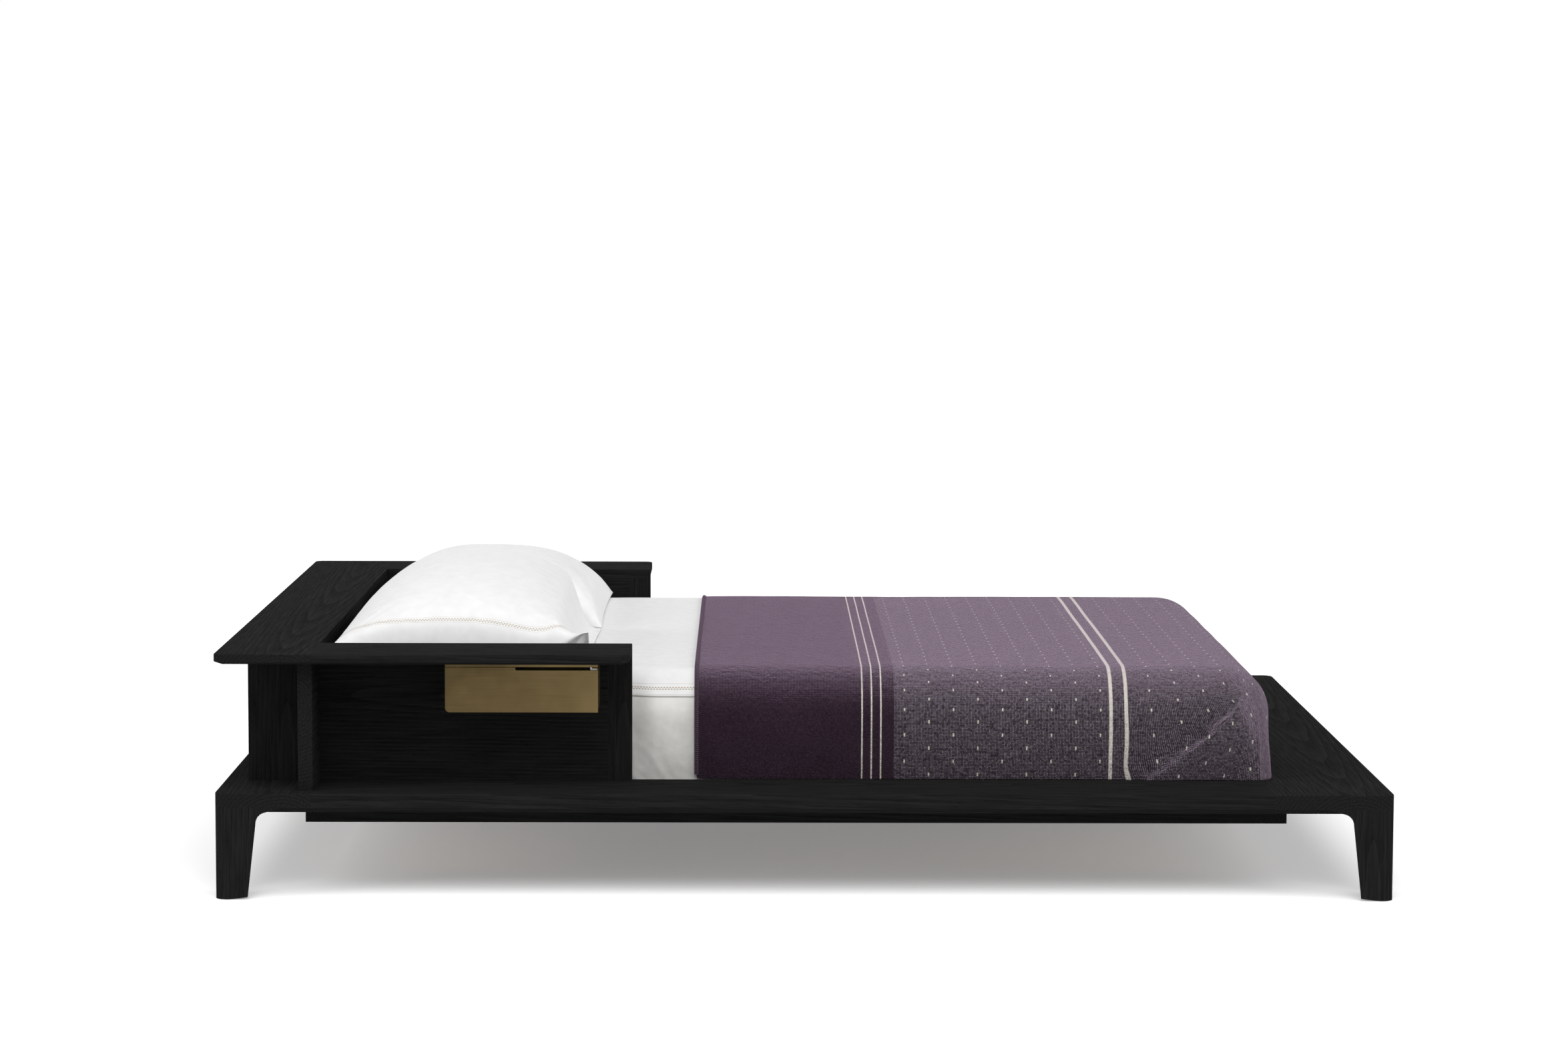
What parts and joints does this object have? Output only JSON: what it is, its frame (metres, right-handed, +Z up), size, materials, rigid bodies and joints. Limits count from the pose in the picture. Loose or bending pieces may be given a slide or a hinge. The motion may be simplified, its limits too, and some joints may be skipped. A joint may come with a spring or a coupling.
{
  "type": "platform bed",
  "caption": "Low platform bed in black-stained wood with a shelved head end, made-up bedding and a brass drawer hung under the shelf on each side.",
  "frame": {"origin": "centre of the bed's footprint, on the floor", "axes": "+X from the head to the foot, +Y from the near side to the far side, +Z up"},
  "size_m": [2.45, 1.9, 0.6256],
  "materials": {
    "black_wood": "satin",
    "slat_wood": "matte",
    "dowel_wood": "matte",
    "zinc_steel": "satin",
    "rail_steel": "satin",
    "brass": "satin",
    "mattress_cover": "matte",
    "white_linen": "matte",
    "plum_wool": "matte"
  },
  "bodies": {
    "bed_frame": {"arm_shelf_far": "black_wood", "arm_shelf_near": "black_wood", "back_fin_far": "black_wood", "back_fin_near": "black_wood", "bearer_bolts": "zinc_steel", "bearer_far": "black_wood", "bearer_near": "black_wood", "blanket": "plum_wool", "centre_beam": "black_wood", "cross_rail_foot": "black_wood", "cross_rail_head": "black_wood", "drawer_mount_far": "brass", "drawer_mount_near": "brass", "drawer_rails_far": "rail_steel", "drawer_rails_near": "rail_steel", "end_stile_far": "black_wood", "end_stile_near": "black_wood", "foot_board": "black_wood", "head_board": "black_wood", "head_shelf": "black_wood", "headboard_panel": "black_wood", "joint_plate_screws": "zinc_steel", "joint_plates": "zinc_steel", "ledger_far": "black_wood", "ledger_near": "black_wood", "leg_bolts": "zinc_steel", "leg_foot_far": "black_wood", "leg_foot_near": "black_wood", "leg_head_far": "black_wood", "leg_head_near": "black_wood", "mattress": "mattress_cover", "mount_screws_far": "brass", "mount_screws_near": "brass", "panel_dowels": "dowel_wood", "pillow_far": "white_linen", "pillow_near": "white_linen", "side_rail_far": "black_wood", "side_rail_near": "black_wood", "side_wall_far": "black_wood", "side_wall_near": "black_wood", "slat_01": "slat_wood", "slat_02": "slat_wood", "slat_03": "slat_wood", "slat_04": "slat_wood", "slat_05": "slat_wood", "slat_06": "slat_wood", "slat_07": "slat_wood", "slat_08": "slat_wood", "slat_09": "slat_wood", "slat_10": "slat_wood", "slat_11": "slat_wood", "slat_12": "slat_wood", "top_sheet": "white_linen"},
    "near_drawer": {"drawer_front_near": "brass", "drawer_tray_near": "brass"},
    "far_drawer": {"drawer_front_far": "brass", "drawer_tray_far": "brass"}
  },
  "joints": [
    {"name": "near_drawer_slide", "type": "slide", "parent": "bed_frame", "child": "near_drawer", "axis": [0, -1, 0], "range_m": [0, 0.085]},
    {"name": "far_drawer_slide", "type": "slide", "parent": "bed_frame", "child": "far_drawer", "axis": [0, 1, 0], "range_m": [0, 0.085]}
  ]
}
